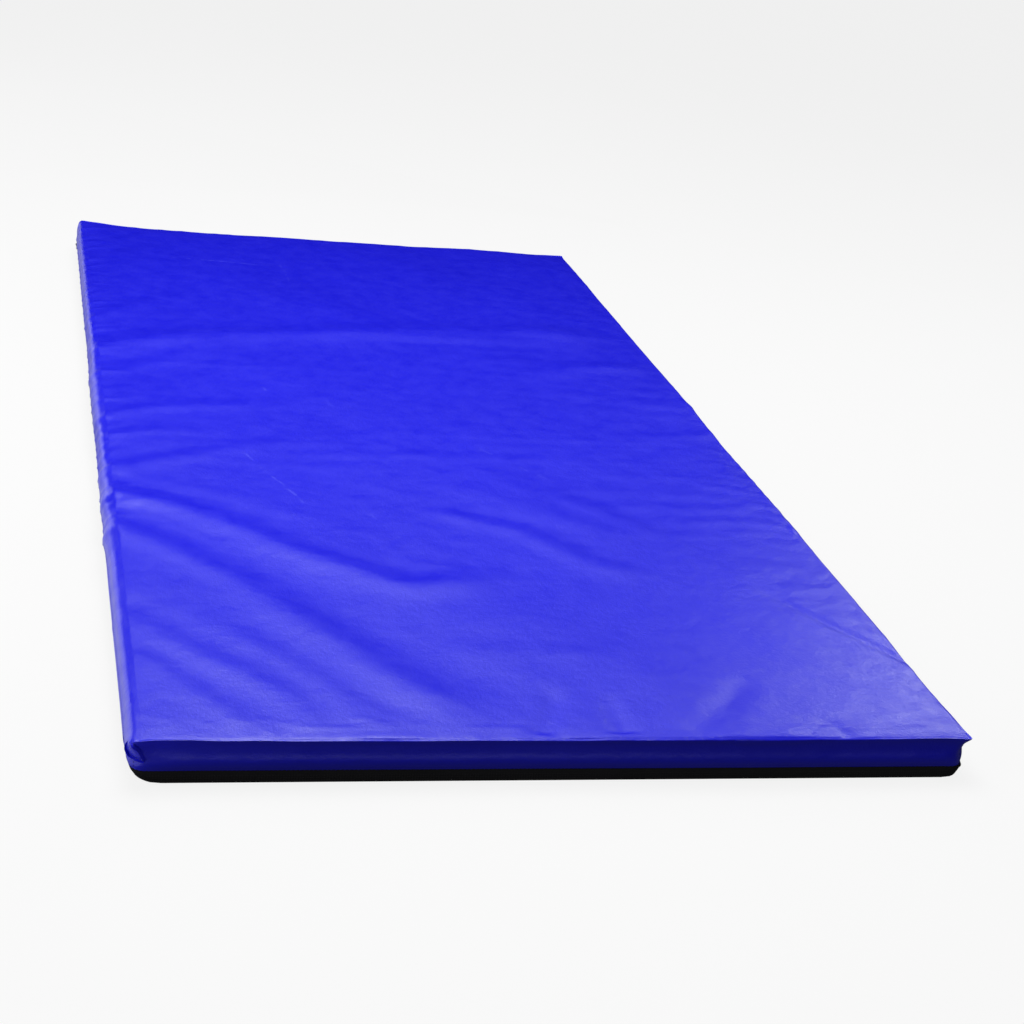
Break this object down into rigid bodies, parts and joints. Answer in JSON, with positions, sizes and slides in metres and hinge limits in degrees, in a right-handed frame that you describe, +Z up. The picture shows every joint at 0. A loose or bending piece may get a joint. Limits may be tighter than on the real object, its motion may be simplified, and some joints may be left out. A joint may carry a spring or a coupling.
{
  "type": "gym mat",
  "caption": "Flat rectangular exercise mat: a foam slab in a zipped blue PVC cover with a black non-slip base.",
  "frame": {"origin": "centre of the mat's underside, on the floor", "axes": "+Z up, +Y along the mat's length towards the zip's closed end, +X across the width away from the zip"},
  "size_m": [1.0069, 2, 0.06],
  "materials": {
    "blue_pvc": "satin",
    "black_non_slip": "matte",
    "grey_foam": "matte",
    "zip_tape_cloth": "matte",
    "zip_coil_nylon": "satin",
    "zip_metal": "satin",
    "blue_thread": "matte"
  },
  "bodies": {
    "mat": {"foam_core": "grey_foam", "cover_top_sheet": "blue_pvc", "zip_side_strip": "blue_pvc", "cover_base_sheet": "black_non_slip", "zip_tape_upper": "zip_tape_cloth", "zip_tape_lower": "zip_tape_cloth", "zip_coil_upper": "zip_coil_nylon", "zip_coil_lower": "zip_coil_nylon", "zip_bottom_stop": "zip_metal", "zip_top_stop_upper": "zip_metal", "zip_top_stop_lower": "zip_metal", "base_seam_thread": "blue_thread", "zip_upper_thread": "blue_thread", "zip_lower_thread": "blue_thread", "corner_thread_near_left": "blue_thread", "corner_thread_near_right": "blue_thread", "corner_thread_far_left": "blue_thread", "corner_thread_far_right": "blue_thread"},
    "zip_slider": {"zip_slider_body": "zip_metal"},
    "zip_pull": {"zip_pull_tab": "zip_metal"}
  },
  "joints": [
    {"name": "zip_slide", "type": "slide", "parent": "mat", "child": "zip_slider", "axis": [0, -1, 0], "range_m": [0, 1.884]},
    {"name": "pull_swing", "type": "hinge", "parent": "zip_slider", "child": "zip_pull", "pos_m": [-0.5044, 0.942, 0.032], "axis": [0, 0, -1], "range_deg": [0, 175]}
  ]
}
